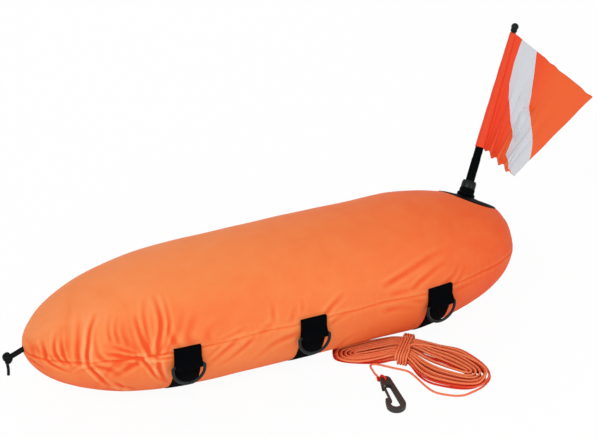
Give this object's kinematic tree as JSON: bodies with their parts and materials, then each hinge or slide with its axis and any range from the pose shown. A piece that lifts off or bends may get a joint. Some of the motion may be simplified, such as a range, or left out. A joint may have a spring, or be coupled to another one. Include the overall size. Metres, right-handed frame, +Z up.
{
  "type": "dive float buoy",
  "caption": "Inflated torpedo dive float in a sewn orange cover, with a flag on a slanted mast, strap rings for gear, a drawcord, and a tied hank of float line with a snap hook.",
  "frame": {"origin": "on the floor, under the centre of the middle strap", "axes": "+X along the float towards the end with the mast, -Y towards the front rings and the line, +Z up"},
  "size_m": [1.0736, 0.4146, 0.4344],
  "materials": {
    "orange_nylon": "coated woven nylon, satin",
    "orange_tape": "woven tape, matt",
    "grey_pvc": "soft film, satin",
    "black_acetal": "moulded, semi-gloss",
    "lead": "cast, matt",
    "black_webbing": "woven, matt",
    "black_rubber": "moulded, satin",
    "red_flag_cloth": "coated cloth, satin",
    "black_braid": "braided, matt",
    "orange_line": "braided, satin",
    "grey_acetal": "moulded, satin",
    "steel": "drawn pin"
  },
  "bodies": {
    "float": {"cover_top_panel": "orange_nylon", "cover_bottom_panel": "orange_nylon", "seam_tape_front": "orange_tape", "seam_tape_back": "orange_tape", "bladder": "grey_pvc", "valve_body": "black_acetal", "socket_collar": "black_acetal", "keel_weight": "lead", "strap_left": "black_webbing", "strap_middle": "black_webbing", "strap_right": "black_webbing", "ring_keeper_left_front": "black_webbing", "ring_keeper_left_back": "black_webbing", "ring_keeper_middle_front": "black_webbing", "ring_keeper_middle_back": "black_webbing", "ring_keeper_right_front": "black_webbing", "ring_keeper_right_back": "black_webbing", "mast_base": "black_rubber", "mast_socket": "black_rubber", "drawcord": "black_braid", "drawcord_knot": "black_braid", "drawcord_tail": "black_braid", "line_hank": "orange_line", "line_tie": "orange_line", "line_tail": "orange_line", "line_knot": "orange_line", "hook_body": "grey_acetal", "hook_gate_pin": "steel"},
    "mast": {"mast_grip": "black_rubber", "mast_rod": "black_acetal", "mast_ball": "black_acetal"},
    "flag": {"flag_sleeve": "red_flag_cloth", "flag_cloth": "red_flag_cloth"},
    "valve_cap": {"valve_cap": "black_acetal"},
    "hook_gate": {"hook_gate": "grey_acetal"},
    "ring_left_front": {"d_ring_left_front": "black_acetal"},
    "ring_left_back": {"d_ring_left_back": "black_acetal"},
    "ring_middle_front": {"d_ring_middle_front": "black_acetal"},
    "ring_middle_back": {"d_ring_middle_back": "black_acetal"},
    "ring_right_front": {"d_ring_right_front": "black_acetal"},
    "ring_right_back": {"d_ring_right_back": "black_acetal"}
  },
  "joints": [
    {"name": "mast_pull", "type": "slide", "parent": "float", "child": "mast", "axis": [0.4772, 0.399, 0.783], "range_m": [0, 0.018]},
    {"name": "flag_swivel", "type": "hinge", "parent": "mast", "child": "flag", "pos_m": [0.35, 0.03776, 0.1896], "axis": [0.4772, 0.399, 0.783], "continuous": true},
    {"name": "valve_cap_pull", "type": "slide", "parent": "float", "child": "valve_cap", "axis": [-1, 0, 0], "range_m": [0, 0.006]},
    {"name": "hook_gate_hinge", "type": "hinge", "parent": "float", "child": "hook_gate", "pos_m": [0.0976, -0.18628, 0.00813], "axis": [-0.01, -0.0528, 0.9986], "range_deg": [0, 16], "stiffness_Nm_per_rad": 0.03, "springref_deg": -8.59},
    {"name": "ring_left_front_hinge", "type": "hinge", "parent": "float", "child": "ring_left_front", "pos_m": [-0.21561, -0.12147, 0.09804], "axis": [-0.9974, 0.0708, 0.0102], "range_deg": [-8, 140]},
    {"name": "ring_left_back_hinge", "type": "hinge", "parent": "float", "child": "ring_left_back", "pos_m": [-0.21561, 0.05727, 0.00697], "axis": [0.9974, 0.0334, -0.0632], "range_deg": [-144, 18]},
    {"name": "ring_middle_front_hinge", "type": "hinge", "parent": "float", "child": "ring_middle_front", "pos_m": [0, -0.12434, 0.09845], "axis": [-1, 0, 0], "range_deg": [-8, 140]},
    {"name": "ring_middle_back_hinge", "type": "hinge", "parent": "float", "child": "ring_middle_back", "pos_m": [0, 0.05929, 0.00489], "axis": [1, 0, 0], "range_deg": [-148, 15]},
    {"name": "ring_right_front_hinge", "type": "hinge", "parent": "float", "child": "ring_right_front", "pos_m": [0.22894, -0.12203, 0.09813], "axis": [-0.9916, -0.1283, -0.0183], "range_deg": [-8, 140]},
    {"name": "ring_right_back_hinge", "type": "hinge", "parent": "float", "child": "ring_right_back", "pos_m": [0.22894, 0.05767, 0.00657], "axis": [0.9916, -0.0607, 0.1146], "range_deg": [-145, 18]}
  ]
}
